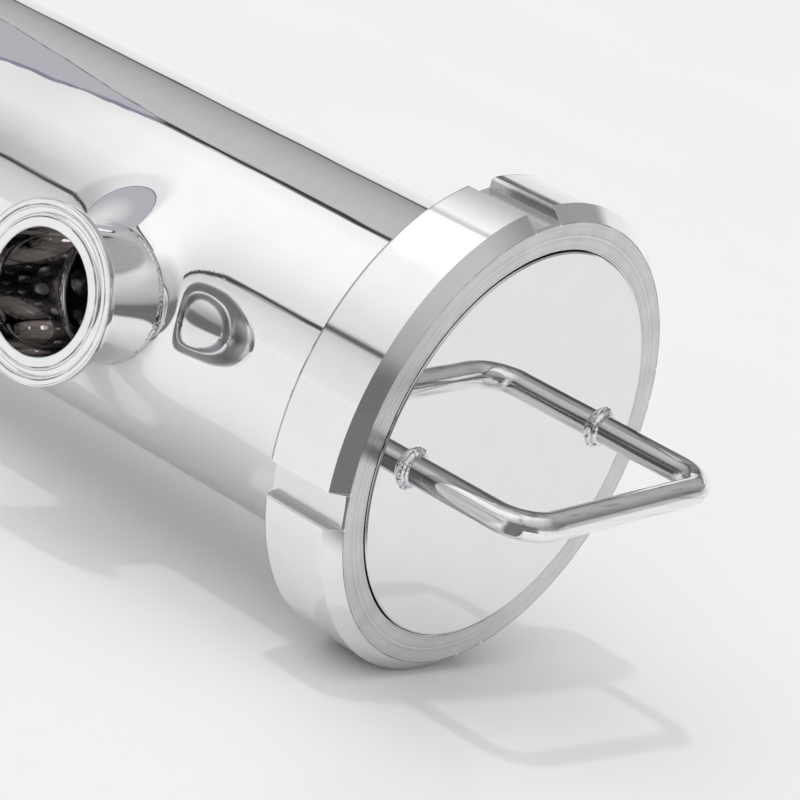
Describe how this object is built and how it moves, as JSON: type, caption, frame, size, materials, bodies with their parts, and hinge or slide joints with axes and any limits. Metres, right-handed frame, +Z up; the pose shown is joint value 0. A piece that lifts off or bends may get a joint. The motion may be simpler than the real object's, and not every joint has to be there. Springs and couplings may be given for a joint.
{
  "type": "angle filter",
  "caption": "Hygienic angle-type pipeline filter: tubular steel body with an axial port, a side port, a perforated mesh element and a blind cap held by a slotted round nut.",
  "frame": {"origin": "centre of the end port's sealing face", "axes": "+X along the body from the end port to the blind cap, -Y out of the side port, +Z up"},
  "size_m": [0.4265, 0.1531, 0.1383],
  "materials": {
    "polished_steel": "mirror polished stainless steel",
    "turned_steel": "fine turned stainless steel",
    "element_steel": "pickled stainless steel sheet and wire",
    "mesh_steel": "woven stainless steel wire",
    "weld_steel": "bright rippled weld bead",
    "silicone": "milky white silicone",
    "black_rubber": "black rubber"
  },
  "bodies": {
    "housing": {"end_ferrule": "polished_steel", "end_weld": "weld_steel", "reducer": "polished_steel", "reducer_weld": "weld_steel", "body_tube": "polished_steel", "port_collar": "polished_steel", "side_weld": "weld_steel", "side_ferrule": "polished_steel", "liner_weld": "weld_steel", "union_liner": "turned_steel", "seat_ring": "turned_steel", "union_gasket": "silicone"},
    "element": {"element_end_ring": "turned_steel", "element_seal": "black_rubber", "perforated_tube": "element_steel", "mesh_sleeve": "mesh_steel", "end_plate": "element_steel", "pull_handle": "element_steel", "pull_welds": "weld_steel"},
    "cap": {"blind_cap": "polished_steel", "cap_handle": "polished_steel", "handle_welds": "weld_steel"},
    "nut": {"union_nut": "turned_steel"}
  },
  "joints": [
    {"name": "element_draw", "type": "slide", "parent": "housing", "child": "element", "axis": [1, 0, 0], "range_m": [0, 0.26]},
    {"name": "cap_travel", "type": "slide", "parent": "element", "child": "cap", "axis": [1, 0, 0], "range_m": [0, 0.0139]},
    {"name": "nut_turn", "type": "hinge", "parent": "cap", "child": "nut", "pos_m": [0.37, 0, 0], "axis": [1, 0, 0], "range_deg": [0, 1170]}
  ],
  "couplings": [
    {"joint": "cap_travel", "follows": "nut_turn", "m_per_rad": 0.00067322}
  ]
}
